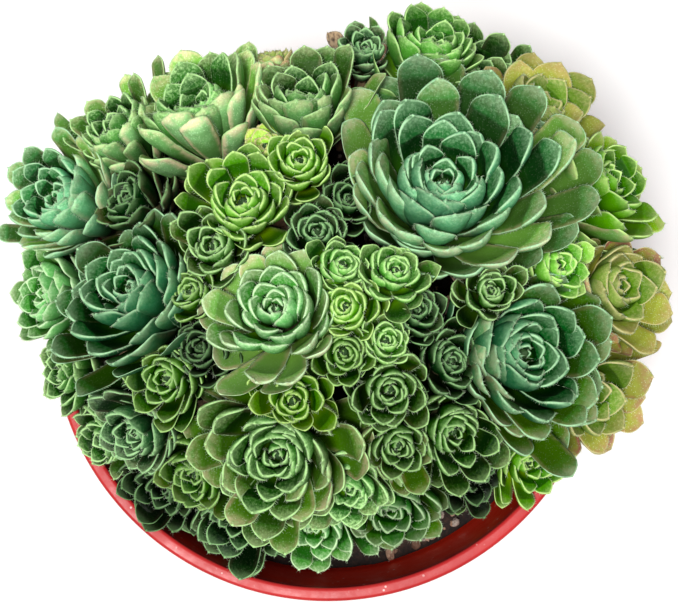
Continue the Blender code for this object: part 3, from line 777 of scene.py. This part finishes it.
def leaf_maps(leaf, cell):
    """Lay the leaf's face and back beside each other in its cell, and its root over them."""
    corner, size = cell
    levels, sides = leaf.across.shape
    across = np.vstack([np.hstack([leaf.across, leaf.across[:, :1]]), np.zeros(sides + 1)])
    stations = np.append(leaf.stations, 1.0)
    start = np.where(np.arange(sides) < leaf.is_top.sum() - 1, 0.02, 0.52)

    def lay(level, side):
        """Give the places of faces from the ring and the side of each corner."""
        wide = start[side[..., :1]] + 0.46 * (across[level, side] + 1.0) / 2
        return corner + np.stack([wide, 0.03 + 0.90 * stations[level]], -1) * size

    last = np.full(sides, levels - 1)
    side = np.arange(sides)
    fan = lay(np.stack([last, last, last + 1], -1), np.stack([side, side + 1, side], -1))
    root = np.stack([0.5 + 0.4 * leaf.across[0, ::-1],
                     np.where(leaf.is_top[::-1], 0.965, 0.95)], -1)
    return [lay(*ring_corners(levels, sides)), fan, corner + root[None] * size]


def add_leaf(stock, leaf, cell, slot, **values):
    """Add a leaf as one closed body."""
    levels, sides = leaf.across.shape
    quads, last, root = tube_faces(levels, sides)
    end = np.stack([last[0], np.roll(last[0], -1), np.full(sides, levels * sides)], -1)
    margin = np.abs(np.tile(leaf.across[0], levels)) > 0.999
    upper = np.where(margin, 0.5, np.tile(leaf.is_top, levels))
    points = np.vstack([leaf.rings.reshape(-1, 3), leaf.tip])
    along = np.append(np.repeat(leaf.stations, sides), 1.0)
    edge = np.append(leaf.edge.ravel(), 0.0)
    stock.add(points, [quads, end, root], slot, leaf_maps(leaf, cell), along=along, edge=edge,
              upper=np.append(upper, 0.5), **values)


def follow(at, run, line):
    """Give the points at some distances along a line."""
    return np.stack([np.interp(at, run, line[:, axis]) for axis in range(3)], -1)


def margin_hairs(leaf, draw):
    """Give the foot and the direction of each hair on both margins, leaning towards the leaf's tip."""
    spots, ways = [], []
    kept = leaf.stations >= HAIRS_FROM
    far = leaf.is_top.sum() - 1
    for column, inner in ((0, 1), (far, far - 1)):
        border = np.vstack([leaf.rings[kept, column], leaf.tip])
        out = leaf.rings[kept, column] - leaf.rings[kept, inner]
        out = np.vstack([out, leaf.tip - leaf.rings[-1].mean(0)])
        out /= np.linalg.norm(out, axis=1)[:, None]
        steps = np.linalg.norm(np.diff(border, axis=0), axis=1)
        run = np.concatenate([[0.0], np.cumsum(steps)])
        count = max(2, int(run[-1] / HAIR_SPACING))
        at = (np.arange(count) + draw.uniform(0.15, 0.85, count)) * run[-1] / count
        spot = follow(at, run, border)
        ahead = follow(at + 0.3, run, border) - spot
        spots.append(spot)
        ways.append(follow(at, run, out) + 1.2 * ahead + draw.normal(0.0, 0.22, spot.shape))
    return np.vstack(spots), np.vstack(ways)


def add_hairs(stock, leaf, cell, draw, shade):
    """Add the hairs of a leaf's margins as slim three-sided needles."""
    spot, way = margin_hairs(leaf, draw)
    way /= np.linalg.norm(way, axis=1)[:, None]
    first = np.cross(way, (0.31, 0.22, 0.92))
    first /= np.linalg.norm(first, axis=1)[:, None]
    second = np.cross(way, first)
    foot = spot - 0.08 * way
    corners = [foot + HAIR_RADIUS * (first * math.cos(turn) + second * math.sin(turn))
               for turn in even_turns(3)]
    corners.append(spot + way * draw.uniform(*HAIR_LENGTHS, len(spot))[:, None])
    start = len(corners) * np.arange(len(spot))[:, None, None]
    faces = (np.array(((0, 1, 3), (1, 2, 3), (2, 0, 3), (0, 2, 1))) + start).reshape(-1, 3)
    corner, size = cell
    maps = np.tile(corner + np.array(((0.02, 0.972), (0.98, 0.972), (0.5, 0.996))) * size, (len(faces), 1))
    stock.add(np.stack(corners, 1).reshape(-1, 3), [faces], HAIR_SLOT, [maps], shade=shade)


def leaf_ends(shoot, age, size):
    """Give a leaf's root and tip, outward and up, before its neighbours squeeze it."""
    grown = min(age, 1.0)
    tip_reach = (TIP_INNER + (1.0 - TIP_INNER) * grown ** TIP_POWER) * size
    tip_height = (TIP_RISE * age - (TIP_RISE + TIP_DROP) * age * age + shoot.row.rise * grown) * size
    root_height = (ROOT_TOP - ROOT_SPREAD * age) * size
    root_reach = min(ROOT_REACH * shoot.bud_radius(root_height), 0.7 * tip_reach)
    return complex(root_reach, root_height), complex(tip_reach, tip_height)


def squeezed_chord(shoot, turn, root, tip):
    """Give the length and the slope of a leaf that its neighbours shorten and raise."""
    chord = tip - root
    squeeze = shoot.squeeze(turn)
    length = abs(chord) * (1.0 - SHORTENED * (1.0 - squeeze))
    across = min(tip.real * squeeze - root.real, length)
    slope = math.acos(max(-1.0, min(1.0, across / length)))
    if squeeze > 0.999:
        slope = max(slope, math.atan2(chord.imag, chord.real))
    return length, slope


def living_leaf(shoot, index):
    """Give one leaf of the spiral and its age: 0 at the heart, 1 at the edge, and more under it."""
    draw = shoot.random.uniform
    age = (index + 0.5) / shoot.leaf_count
    grown = min(age, 1.0)
    turn = shoot.phase + shoot.hand * GOLDEN_ANGLE * index + draw(-0.12, 0.12)
    size = shoot.reach * (1.0 + grown * float(np.dot((*shoot.row.skew, 0.0), shoot.outward(turn))))
    root, tip = leaf_ends(shoot, age, size)
    width = grow(LEAF_WIDTH, size) / shoot.row.narrow
    width *= 1.0 - math.exp(-tip.real / (WIDTH_GROWTH * size + 0.8))
    width = width * draw(0.92, 1.08) + 0.5
    length, slope = squeezed_chord(shoot, turn, root, tip)
    length *= draw(0.9, 1.07)
    slope += draw(-0.09, 0.09)
    thickness = min(grow(THICKNESS, width), THICKNESS_MOST * width)
    wedge = WEDGE * width * (1.0 - WEDGE_LOST * grown ** 2)
    high_bend = 0.08 + 0.56 * (1.0 - grown ** 2)
    twist, sway = draw(-0.2, 0.2), draw(-0.04, 0.04)
    wave = (draw(0.0, 0.06) * width, draw(0.0, math.tau))
    detail = FINE if age < 1.0 and abs(tip - root) > FINE_LEAF_FROM else PLAIN
    for shortening, raised in itertools.product(SHORTENINGS, RAISES):
        angle = min(slope + raised, STEEPEST)
        end = root + length * shortening * complex(math.cos(angle), math.sin(angle))
        form = LeafForm(root, end, 0.32 + 0.5 * raised, high_bend,
                        width * math.sqrt(shortening), thickness, wedge, grown, tip.real, twist, sway, wave)
        leaf = leaf_mesh(form, shoot, turn, detail)
        if clear_of_pot(leaf.rings.reshape(-1, 3)):
            break
    return leaf, age


def add_living_leaf(stock, shoot, index, cell, draw):
    """Add one living leaf with its hairs, pressed into its cell, unless it is crowded out."""
    leaf, age = living_leaf(shoot, index)
    free = np.vstack([leaf.rings.reshape(-1, 3), leaf.tip])
    pressed = shoot.press(free)
    if age > CROWDED_OUT_FROM and np.linalg.norm(pressed - free, axis=1).mean() > CROWDED_OUT * shoot.reach:
        return
    leaf = leaf._replace(rings=pressed[:-1].reshape(leaf.rings.shape), tip=pressed[-1])
    blush = shoot.row.blush * np.clip((age - 0.5) / 0.4, 0.0, 1.0) * draw.uniform(0.2, 1.3)
    is_dry = 0 <= shoot.leaf_count - 1 - index < shoot.row.dry
    # Painted shade: leaves under the rosette take only the darker tints, lying beneath the living ones
    tint = draw.uniform(0.0, 0.4 if age > 1.0 else 1.0)
    # The rosette's tone with its painted light and shade goes to its leaves and hairs
    shade = shoot.row.shade
    slot = DRY_SLOT if is_dry else LEAF_SLOT
    add_leaf(stock, leaf, cell, slot, age=min(age, 1.0), tint=tint, blush=blush, shade=shade)
    if age < 1.0:
        add_hairs(stock, leaf, cell, draw, shade)


def dry_leaf(shoot, draw):
    """Give one papery leaf that hangs on the stem below the living ones."""
    run = np.array(shoot.neck - shoot.foot)
    share = draw.uniform(*DRY_LEAF_SPAN)
    holder = Frame(Vector(np.array(shoot.foot) + run * share), Vector(run).normalized())
    girth = shoot.stem_girth(share)
    length = draw.uniform(*DRY_LEAF_LENGTHS) + DRY_LEAF_GROWTH * shoot.radius
    drop = draw.uniform(*DRY_LEAF_DROPS)
    root = complex(0.5 * girth, 0.0)
    tip = root + length * complex(math.cos(drop), -math.sin(drop))
    form = LeafForm(root, tip, -draw.uniform(0.2, 0.6), -draw.uniform(0.1, 0.9),
                    0.42 * length + 1.0, 0.35, 0.3, 1.0,
                    girth + 1.0, draw.uniform(-0.5, 0.5), draw.uniform(-0.1, 0.1),
                    (0.4, draw.uniform(0.0, 6.0)))
    return leaf_mesh(form, holder, draw.uniform(0.0, math.tau), COARSE)


def stem_rings(shoot, draw):
    """Give the rings of the knobbly stem and of the bud at its end."""
    turns = even_turns(STEM_SIDES)
    run = np.array(shoot.neck - shoot.foot)
    holder = Frame(shoot.foot, Vector(run).normalized())
    rings = []
    for share in np.linspace(0.0, 0.96, STEM_RINGS):
        girths = shoot.stem_girth(share) * (1.0 + draw.uniform(-0.08, 0.08, STEM_SIDES))
        height = share * np.linalg.norm(run)
        rings.append([holder.place(turn, girth, 0.0, height) for turn, girth in zip(turns, girths)])
    first = math.atan2(holder.across @ shoot.along, holder.across @ shoot.across)
    widest = shoot.bud_radius(BUD_RINGS[1][0] * shoot.radius)
    bud = [(share, shoot.bud_radius(share * shoot.radius)) for share, _, _ in BUD_RINGS[:2]]
    for share, reach in [*bud, *[(share, narrow * widest) for share, narrow in BUD_END]]:
        rings.append([shoot.place(turn + first, reach, 0.0, share * shoot.radius) for turn in turns])
    return np.array(rings)


def add_stem(stock, shoot, cell, draw):
    """Add the stem with its bud as one closed body."""
    rings = stem_rings(shoot, draw)
    levels = len(rings)
    corner, size = cell
    level, side = ring_corners(levels, STEM_SIDES)
    quads = corner + (0.02 + 0.90 * np.stack([side / STEM_SIDES, level / levels], -1)) * size
    turns = even_turns(STEM_SIDES)
    end = corner + np.stack([0.5 + 0.4 * np.cos(turns), 0.96 + 0.03 * np.sin(turns)], -1) * size
    along = np.repeat(np.arange(levels) / (levels - 1), STEM_SIDES)
    maps = [quads, end[None], end[None, ::-1]]
    stock.add(rings.reshape(-1, 3), tube_faces(levels, STEM_SIDES), STEM_SLOT, maps, along=along)


def build_rosette(shoot, materials):
    """Make one rosette: its living leaves, its dry leaves, and its stem with the bud."""
    stock = Stock()
    draw = np.random.default_rng(shoot.number)
    dry_count = round(grow(DRY_LEAVES, shoot.radius))
    living_count = round(shoot.leaf_count * (1.0 + UNDER_LEAVES))
    cells = living_count + dry_count + 1
    for index in range(living_count):
        add_living_leaf(stock, shoot, index, cell_of(index, cells), draw)
    for index in range(living_count, living_count + dry_count):
        leaf = dry_leaf(shoot, draw)
        add_leaf(stock, leaf, cell_of(index, cells), DRY_SLOT, tint=draw.uniform(), age=1.0)
    add_stem(stock, shoot, cell_of(cells - 1, cells), draw)
    piece = stock.piece(f"leaves_{shoot.number:02d}", materials, mapped=True)
    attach(piece, "root")
    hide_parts(shoot.node)


def cut_away(base, cutters):
    """Cut objects out of another and remove them."""
    for cutter in cutters:
        boolean = base.modifiers.new("cut", "BOOLEAN")
        boolean.operation = "DIFFERENCE"
        boolean.object = cutter
        boolean.solver = "EXACT"
    seen = base.evaluated_get(bpy.context.evaluated_depsgraph_get())
    mesh = bpy.data.meshes.new_from_object(seen)
    base.modifiers.clear()
    base.data = mesh
    for cutter in cutters:
        bpy.data.objects.remove(cutter, do_unlink=True)


def arc(radial, height, radius, start, end, count):
    """Give points on an arc round a centre, with angles in degrees."""
    angles = np.radians(np.linspace(start, end, count))
    return [(radial + radius * math.cos(angle), height + radius * math.sin(angle)) for angle in angles]


def build_pot():
    """Turn the pot with rounded edges and cut its drain holes."""
    collar_foot = POT_HEIGHT - COLLAR_HEIGHT
    lip_top = POT_HEIGHT - LIP_ROUND
    outline = [
        *arc(BASE_RADIUS - BASE_ROUND, BASE_ROUND, BASE_ROUND, -90, -5, 6),
        (BODY_TOP_RADIUS - 0.15, collar_foot - 1.0),
        (BODY_TOP_RADIUS, collar_foot),
        *arc(COLLAR_FOOT_RADIUS - COLLAR_ROUND, collar_foot + COLLAR_ROUND, COLLAR_ROUND, -90, 0, 4),
        *arc(RIM_RADIUS - LIP_ROUND, lip_top, LIP_ROUND, 2, 90, 7),
        *arc(RIM_RADIUS - LIP_WIDTH + LIP_ROUND, lip_top, LIP_ROUND, 90, 178, 7),
        (inner_radius(INNER_JOG_HIGH), INNER_JOG_HIGH),
        (inner_radius(INNER_JOG_LOW), INNER_JOG_LOW),
        (inner_radius(FLOOR + FLOOR_CHAMFER), FLOOR + FLOOR_CHAMFER),
        (inner_radius(FLOOR) - FLOOR_CHAMFER, FLOOR),
    ]
    turns = even_turns(POT_SIDES)
    pot = round_piece("pot_shell", [circle(*spot, turns) for spot in outline], pot_material())
    drain = [circle(DRAIN_RADIUS, height, even_turns(24)) for height in (-1.0, FLOOR + 2.0)]
    cutters = []
    for index, turn in enumerate(even_turns(DRAIN_COUNT)):
        cutter = round_piece(f"drain_{index}", drain, pot.data.materials[0])
        cutter.location = Vector((math.cos(turn), math.sin(turn), 0.0)) * DRAIN_CIRCLE * MM
        cutters.append(cutter)
    cut_away(pot, cutters)
    pot.data.set_sharp_from_angle(angle=math.radians(32.0))
    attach(pot, "root")
    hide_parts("pot")


def soil_height(x, y):
    """Give the height of the crumbly surface at a place."""
    place = Vector((x, y, 0.0))
    lumps = sum(share * noise.fractal(place / size, *settings) for size, share, settings in SOIL_RELIEF)
    return SOIL_TOP + SOIL_BUMP * lumps


def build_soil():
    """Make the soil as one body with a lumpy top."""
    turns = even_turns(SOIL_SIDES)
    rings = [circle(float(inner_radius(height)) - SOIL_GAP, height, turns)
             for height in (FLOOR + SOIL_GAP, INNER_JOG_LOW)]
    for share in np.linspace(1.0, 0.02, SOIL_RINGS):
        ring = circle(SOIL_REACH * share, 0.0, turns)
        ring[:, 2] = [soil_height(x, y) for x, y, _ in ring]
        rings.append(ring)
    soil = round_piece("soil_crumbs", rings, soil_material())
    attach(soil, "root")
    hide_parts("soil")


def grit_spot(draw, index):
    """Give a stone's place: in the heaps for the first stones, anywhere for the others."""
    reach = SOIL_REACH - 2.0
    if index < HEAP_STONES * len(GRIT_HEAPS):
        spot = GRIT_HEAPS[index % len(GRIT_HEAPS)] + draw.normal(0.0, HEAP_SPREAD, 2)
        return spot * min(1.0, reach / np.hypot(*spot))
    plan = reach * math.sqrt(draw.uniform())
    turn = draw.uniform(0.0, math.tau)
    return plan * math.cos(turn), plan * math.sin(turn)


def build_grit():
    """Scatter small irregular stones, half sunk in the soil."""
    draw = np.random.default_rng(77)
    ball = bmesh.new()
    bmesh.ops.create_icosphere(ball, subdivisions=2, radius=1.0)
    form = np.array([corner.co for corner in ball.verts])
    faces = np.array([[corner.index for corner in face.verts] for face in ball.faces])
    ball.free()
    stock = Stock()
    least, most = GRIT_SIZES
    for index in range(GRIT_COUNT):
        x, y = grit_spot(draw, index)
        size = least + (most - least) * draw.uniform() ** 2.5
        knobs = 1.0 + draw.normal(0.0, 0.13, (len(form), 1))
        turned = Matrix.Rotation(draw.uniform(0.0, math.tau), 3, Vector(draw.normal(size=3)).normalized())
        stone = (form * knobs * draw.uniform(0.6, 1.1, 3) * size) @ np.array(turned).T
        stock.add(stone + (x, y, soil_height(x, y) + 0.2 * size), [faces], 0, tint=draw.uniform())
    grit = stock.piece("grit", [grit_material()], smooth=False)
    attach(grit, "root")


def build_camera():
    """Set the camera at the photograph's viewing angle."""
    look = Vector((0.0, math.cos(CAMERA_ELEVATION), -math.sin(CAMERA_ELEVATION)))
    camera = bpy.data.cameras.new("camera")
    camera.lens = CAMERA_LENS
    made = bpy.data.objects.new("camera", camera)
    made.location = (CAMERA_TARGET - look * CAMERA_DISTANCE) * MM
    made.rotation_euler = look.to_track_quat("-Z", "Y").to_euler()
    bpy.context.scene.collection.objects.link(made)
    bpy.context.scene.camera = made


def build_floor():
    """Lay the pale floor."""
    stock = Stock()
    corners = circle(math.sqrt(2.0) * FLOOR_REACH, -FLOOR_DROP, even_turns(4) + math.pi / 4)
    stock.add(corners, [np.arange(4)[None]], 0)
    floor = stock.piece("floor", [Nodes("pale_floor", 0.9, Specular_IOR_Level=0.1).finish((250, 250, 250))])


def add_lamp(row):
    """Add a soft square lamp."""
    lamp = bpy.data.lights.new(row.name, "AREA")
    lamp.size = row.size
    lamp.energy = row.power
    lamp.color = row.colour
    made = bpy.data.objects.new(row.name, lamp)
    made.location = row.place
    made.rotation_euler = (LAMP_TARGET - Vector(row.place)).to_track_quat("-Z", "Y").to_euler()
    bpy.context.scene.collection.objects.link(made)


def build_sky():
    """Set an even white sky, and show colours as they are."""
    world = bpy.data.worlds.new("sky")
    world.use_nodes = True
    sky = world.node_tree.nodes["Background"]
    sky.inputs["Color"].default_value = (1.0, 1.0, 1.0, 1.0)
    sky.inputs["Strength"].default_value = 0.07
    bpy.context.scene.world = world
    bpy.context.scene.view_settings.view_transform = "Standard"


def main():
    """Build every piece round the fixed frame."""
    build_camera()
    build_floor()
    for row in LAMPS:
        add_lamp(row)
    build_sky()
    build_pot()
    build_soil()
    build_grit()
    shoots = [Shoot(index, row) for index, row in enumerate(ROSETTES)]
    tones = {tone: leaf_material(tone, look) for tone, look in LEAF_LOOKS.items()}
    shared = [hair_material(), dry_material(), stem_material()]
    for shoot in shoots:
        shoot.share_cushion(shoots)
        build_rosette(shoot, [tones[shoot.row.tone], *shared])


main()
